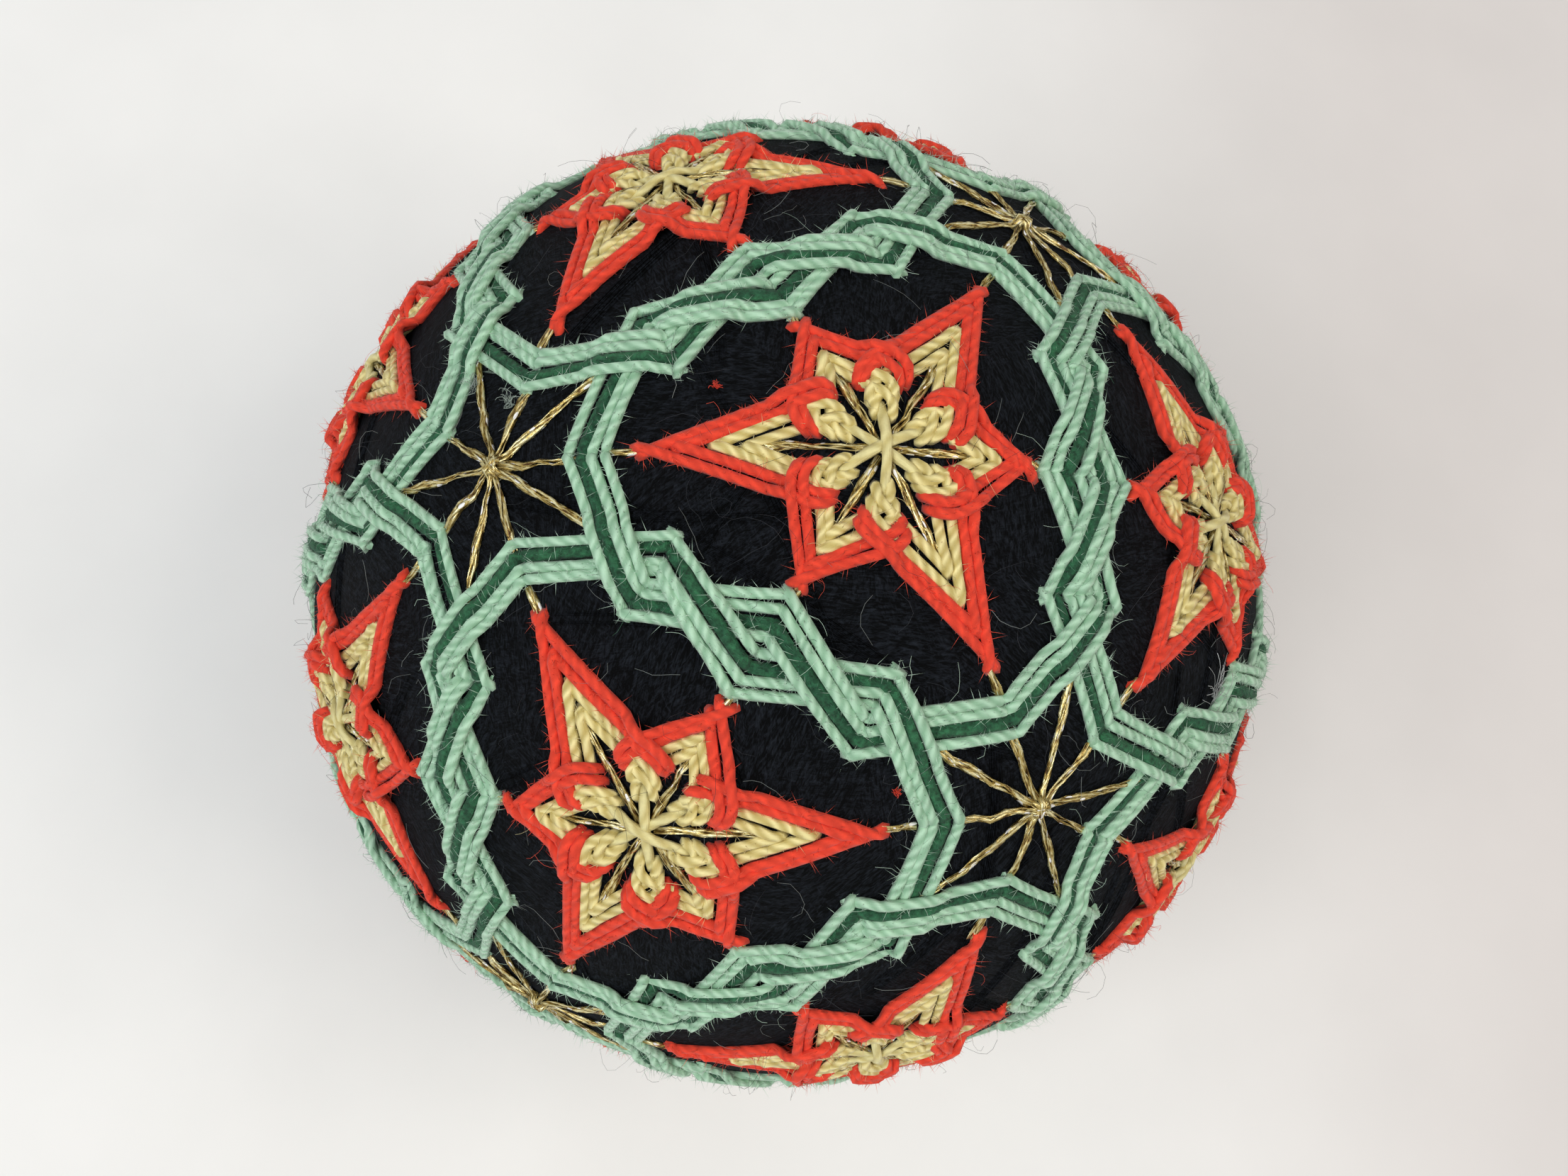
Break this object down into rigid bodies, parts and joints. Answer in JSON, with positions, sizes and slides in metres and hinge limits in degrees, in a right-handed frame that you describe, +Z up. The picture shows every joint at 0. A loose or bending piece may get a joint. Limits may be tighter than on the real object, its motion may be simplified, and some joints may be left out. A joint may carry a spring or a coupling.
{
  "type": "temari ball",
  "caption": "Thread-wound decorative ball, stitched all round with six-pointed stars and interlaced bands.",
  "frame": {"origin": "centre of the flat spot that the ball rests on", "axes": "+Z up through the ball's centre and the middle of the uppermost star, +Y towards one of that star's three long points, +X to the right of it"},
  "size_m": [0.0794, 0.0794, 0.0777],
  "materials": {
    "black_thread": "matte, fine thread wound in every direction",
    "light_green_thread": "two-ply pearl cotton, soft sheen",
    "dark_green_thread": "soft cotton, matte, the second row of each ring",
    "red_thread": "two-ply cotton, matte and slightly fuzzy",
    "yellow_thread": "two-ply pearl cotton, pale gold yellow with a soft sheen, inside the red rows of each star",
    "gold_thread": "metallic gold marking thread with glints"
  },
  "bodies": {
    "root": {"wound_ball": "black_thread", "ring_01": "light_green_thread", "ring_02": "light_green_thread", "ring_03": "light_green_thread", "ring_04": "light_green_thread", "ring_05": "light_green_thread", "ring_06": "light_green_thread", "ring_07": "light_green_thread", "ring_08": "light_green_thread", "ring_09": "light_green_thread", "ring_10": "light_green_thread", "ring_11": "light_green_thread", "ring_12": "light_green_thread", "ring_13": "light_green_thread", "ring_14": "light_green_thread", "ring_15": "light_green_thread", "ring_16": "light_green_thread", "ring_17": "light_green_thread", "ring_18": "light_green_thread", "ring_19": "light_green_thread", "ring_20": "light_green_thread", "star_01": "red_thread", "star_02": "red_thread", "star_03": "red_thread", "star_04": "red_thread", "star_05": "red_thread", "star_06": "red_thread", "star_07": "red_thread", "star_08": "red_thread", "star_09": "red_thread", "star_10": "red_thread", "star_11": "red_thread", "star_12": "red_thread", "star_13": "red_thread", "star_14": "red_thread", "star_15": "red_thread", "star_16": "red_thread", "star_17": "red_thread", "star_18": "red_thread", "star_19": "red_thread", "star_20": "red_thread", "gold_01": "gold_thread", "gold_02": "gold_thread", "gold_03": "gold_thread", "gold_04": "gold_thread", "gold_05": "gold_thread", "gold_06": "gold_thread", "gold_07": "gold_thread", "gold_08": "gold_thread", "gold_09": "gold_thread", "gold_10": "gold_thread", "gold_11": "gold_thread", "gold_12": "gold_thread"}
  },
  "joints": []
}
